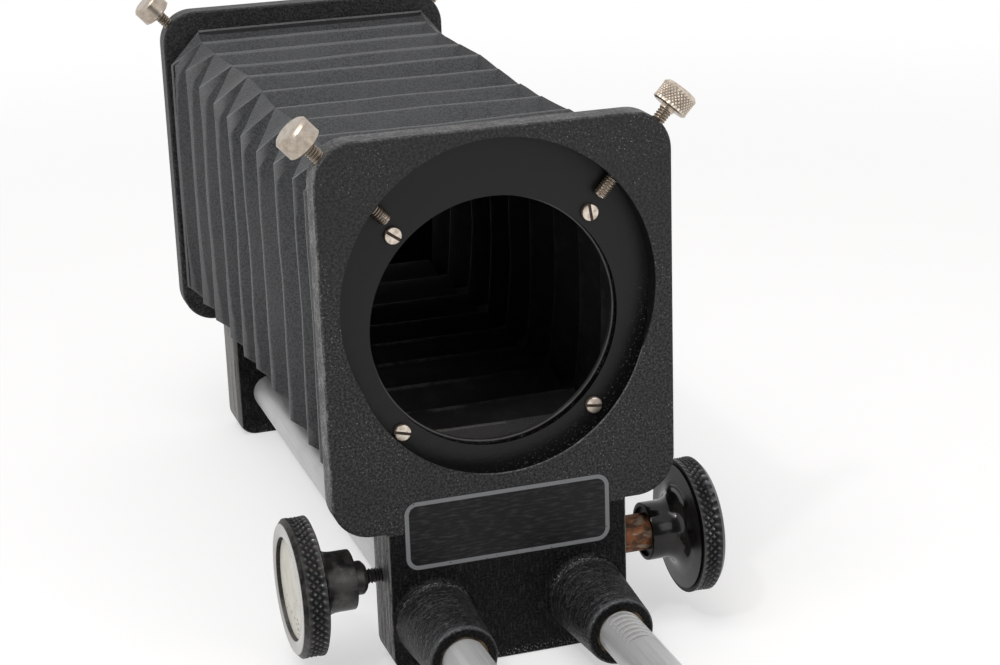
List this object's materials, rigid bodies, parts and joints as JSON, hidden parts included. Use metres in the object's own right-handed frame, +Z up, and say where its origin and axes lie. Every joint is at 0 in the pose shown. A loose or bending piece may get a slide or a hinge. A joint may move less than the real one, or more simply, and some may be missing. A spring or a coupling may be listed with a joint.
{
  "type": "macro bellows unit",
  "caption": "Macro bellows unit: a pleated bellows between two plates on twin rails, focused by a rack and pinion knob, with clamped ring seats at both ends.",
  "frame": {"origin": "on the optical axis, in the outer face of the front standard", "axes": "+Y along the optical axis from the front standard towards the rear one, +Z up, +X to the right seen from the front"},
  "size_m": [0.0938, 0.2363, 0.1222],
  "materials": {
    "crackle_black": "black crackle paint on a light alloy casting, worn to bare grey on edges",
    "satin_black": "satin black paint",
    "bellows_cloth": "dark grey leathercloth with a fine grain, paler on the ridges",
    "rail_steel": "satin ground steel",
    "screw_nickel": "polished nickel, slightly dulled",
    "dark_steel": "blackened steel",
    "bush_brass": "turned brass",
    "shaft_steel": "turned steel with light rust and dried grease",
    "knob_black": "glossy black moulding with a knurled rim",
    "disc_white": "warm white disc with a few dark specks",
    "label_black": "black plate with a thin grey border line"
  },
  "bodies": {
    "rear": {"rear_standard": "crackle_black", "rear_bellows_frame": "satin_black", "rear_frame_screws": "screw_nickel", "rail_left": "rail_steel", "rail_right_rack": "rail_steel", "rail_grub_screws": "dark_steel", "tripod_bush": "bush_brass", "bellows": "bellows_cloth"},
    "front": {"front_standard": "crackle_black", "front_bellows_frame": "satin_black", "front_frame_screws": "screw_nickel", "label_plate": "label_black", "rail_bush_left": "bush_brass", "rail_bush_right": "bush_brass", "pinion_shaft_bush": "bush_brass", "lock_pad": "dark_steel"},
    "pinion": {"pinion_shaft": "shaft_steel", "pinion_gear": "bush_brass", "focus_knob": "knob_black", "focus_knob_disc": "disc_white", "focus_knob_set_screw": "dark_steel"},
    "lock": {"lock_knob": "knob_black", "lock_knob_disc": "disc_white", "lock_screw": "satin_black"},
    "front_clamp_left": {"front_clamp_screw_left": "screw_nickel"},
    "front_clamp_right": {"front_clamp_screw_right": "screw_nickel"},
    "rear_clamp_left": {"rear_clamp_screw_left": "screw_nickel"},
    "rear_clamp_right": {"rear_clamp_screw_right": "screw_nickel"}
  },
  "joints": [
    {"name": "focus_slide", "type": "slide", "parent": "rear", "child": "front", "axis": [0, -1, 0], "range_m": [-0.12, 0.03], "deforming": ["bellows"]},
    {"name": "focus_turn", "type": "hinge", "parent": "front", "child": "pinion", "pos_m": [0, 0.007, -0.05354], "axis": [1, 0, 0], "range_deg": [-1360, 345]},
    {"name": "lock_turn", "type": "hinge", "parent": "front", "child": "lock", "pos_m": [-0.03, 0.007, -0.05354], "axis": [1, 0, 0], "range_deg": [-360, 180]},
    {"name": "front_clamp_left_slide", "type": "slide", "parent": "front", "child": "front_clamp_left", "axis": [-0.6756, 0, 0.7373], "range_m": [-0.0013, 0.0035]},
    {"name": "front_clamp_right_slide", "type": "slide", "parent": "front", "child": "front_clamp_right", "axis": [0.6756, 0, 0.7373], "range_m": [-0.0013, 0.0035]},
    {"name": "rear_clamp_left_slide", "type": "slide", "parent": "rear", "child": "rear_clamp_left", "axis": [-0.6756, 0, 0.7373], "range_m": [-0.0013, 0.0035]},
    {"name": "rear_clamp_right_slide", "type": "slide", "parent": "rear", "child": "rear_clamp_right", "axis": [0.6756, 0, 0.7373], "range_m": [-0.0013, 0.0035]}
  ],
  "couplings": [
    {"joint": "focus_turn", "follows": "focus_slide", "rad_per_m": 196.08}
  ]
}
